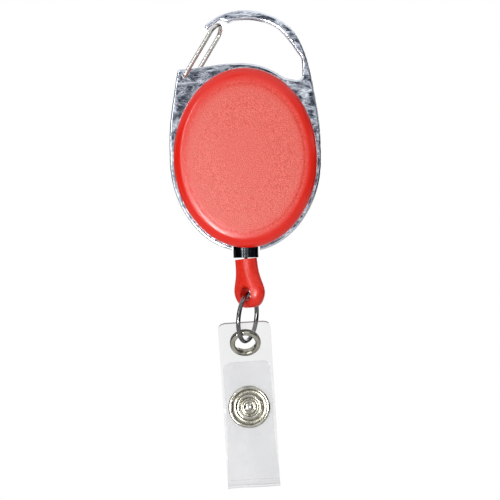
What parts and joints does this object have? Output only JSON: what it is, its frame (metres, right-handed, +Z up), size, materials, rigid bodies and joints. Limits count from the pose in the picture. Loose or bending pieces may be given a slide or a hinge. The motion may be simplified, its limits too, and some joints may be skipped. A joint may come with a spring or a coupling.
{
  "type": "retractable badge reel",
  "caption": "Oval spring-rewound cord reel with an integral wire-gate hook, a cord end with a ring, and a clear snap strap for a badge.",
  "frame": {"origin": "top of the hook's inner curve, where the reel hangs", "axes": "+X to the right seen from the front, +Y to the back, +Z up"},
  "size_m": [0.0342, 0.0116, 0.1084],
  "materials": {
    "chrome": "bright chrome plate over a die casting, with a fine orange-peel ripple",
    "spring_steel": "drawn and polished spring steel",
    "red_shell": "translucent red moulding, glossy band round a finely textured face",
    "dark_chrome": "dark chrome plate",
    "white_moulding": "natural acetal moulding",
    "cord": "braided nylon cord",
    "nickel_wire": "nickel-plated round wire",
    "clear_vinyl": "clear flexible vinyl, slightly clouded",
    "nickel": "stamped nickel-plated brass"
  },
  "bodies": {
    "housing": {"frame": "chrome", "front_cover": "red_shell", "rear_cover": "red_shell", "cord_ferrule": "dark_chrome"},
    "gate": {"gate_wire": "spring_steel"},
    "reel_spool": {"spool": "white_moulding", "spring_cover": "white_moulding", "power_spring": "spring_steel", "cord_winding": "cord"},
    "cord_end": {"cord_run": "cord", "cord_knot": "cord"},
    "drop": {"cord_drop": "red_shell"},
    "link_ring": {"ring": "nickel_wire"},
    "strap": {"strap_back": "clear_vinyl", "strap_fold": "clear_vinyl", "eyelet": "nickel", "eyelet_washer": "nickel", "snap_socket": "nickel", "snap_spring": "spring_steel", "snap_cap": "nickel"},
    "flap": {"strap_flap": "clear_vinyl", "snap_ring": "nickel", "snap_stud": "nickel"}
  },
  "joints": [
    {"name": "gate_swing", "type": "hinge", "parent": "housing", "child": "gate", "pos_m": [-0.0134, 0, -0.0127], "axis": [0, 1, 0], "range_deg": [0, 34], "stiffness_Nm_per_rad": 0.02, "springref_deg": -20.05},
    {"name": "cord_pull", "type": "slide", "parent": "housing", "child": "cord_end", "axis": [0, 0, -1], "range_m": [0, 0.6], "stiffness_N_per_m": 0.9, "springref_m": -0.9, "deforming": ["cord_run"]},
    {"name": "spool_spin", "type": "hinge", "parent": "housing", "child": "reel_spool", "pos_m": [0, 0, -0.0314], "axis": [0, -1, 0], "range_deg": [-1, 2823], "deforming": ["power_spring", "cord_winding"]},
    {"name": "drop_swivel", "type": "hinge", "parent": "cord_end", "child": "drop", "pos_m": [-0.0004, 0, -0.05417], "axis": [0.0872, 0, -0.9962], "continuous": true},
    {"name": "ring_swing", "type": "hinge", "parent": "drop", "child": "link_ring", "pos_m": [0.0003, 0, -0.06214], "axis": [0.3719, 0.9272, -0.045], "range_deg": [-30, 30]},
    {"name": "strap_swing", "type": "hinge", "parent": "link_ring", "child": "strap", "pos_m": [-0.001, 0, -0.07286], "axis": [0, 1, 0], "range_deg": [-25, 25]},
    {"name": "flap_open", "type": "hinge", "parent": "strap", "child": "flap", "pos_m": [0.00026, 0.00137, -0.10444], "axis": [0.9992, 0, 0.0401], "range_deg": [0, 90], "deforming": ["strap_fold"]}
  ],
  "couplings": [
    {"joint": "spool_spin", "follows": "cord_pull", "rad_per_m": 82.057}
  ]
}
